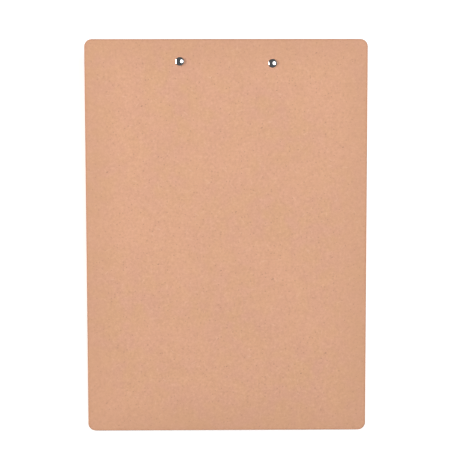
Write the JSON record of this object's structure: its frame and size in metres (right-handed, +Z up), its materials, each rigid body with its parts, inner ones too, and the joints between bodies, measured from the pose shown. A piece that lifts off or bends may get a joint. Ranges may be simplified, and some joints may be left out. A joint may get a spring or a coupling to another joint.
{
  "type": "clipboard",
  "caption": "Hardboard clipboard with rounded corners and a sprung steel lever clip riveted near its top edge; squeezing the thumb lever opens the jaw.",
  "frame": {"origin": "middle of the board's bottom edge", "axes": "+Z up, out of the plain back with the rivet heads; -Y from the bottom edge towards the clip end; +X to the right seen from the clip end. The clipboard lies on its front, on its bottom edge and the rolled thumb edge of the clip, so the board slopes up 4.17 degrees towards -Y"},
  "size_m": [0.225, 0.3156, 0.0265],
  "materials": {
    "hardboard": "bare pressed wood fibre, matt and slightly mottled",
    "clip_steel": "bright nickel-plated pressed steel",
    "bright_nickel": "polished nickel plate",
    "spring_wire": "drawn spring wire, lightly oiled",
    "grip_rubber": "moulded black rubber, matt"
  },
  "bodies": {
    "board_assembly": {"board": "hardboard", "clip_base_plate": "clip_steel", "hinge_pin": "bright_nickel", "rivet_left": "bright_nickel", "rivet_right": "bright_nickel", "torsion_spring_left": "spring_wire", "torsion_spring_right": "spring_wire"},
    "lever_assembly": {"clip_lever": "clip_steel", "jaw_grip_left": "grip_rubber", "jaw_grip_right": "grip_rubber"}
  },
  "joints": [
    {"name": "lever_hinge", "type": "hinge", "parent": "board_assembly", "child": "lever_assembly", "pos_m": [0.00008, -0.29295, 0.01134], "axis": [-0.9998, 0.0209, -0.0015], "range_deg": [0, 40], "stiffness_Nm_per_rad": 0.7, "springref_deg": -40.11, "deforming": ["torsion_spring_left", "torsion_spring_right"]}
  ]
}
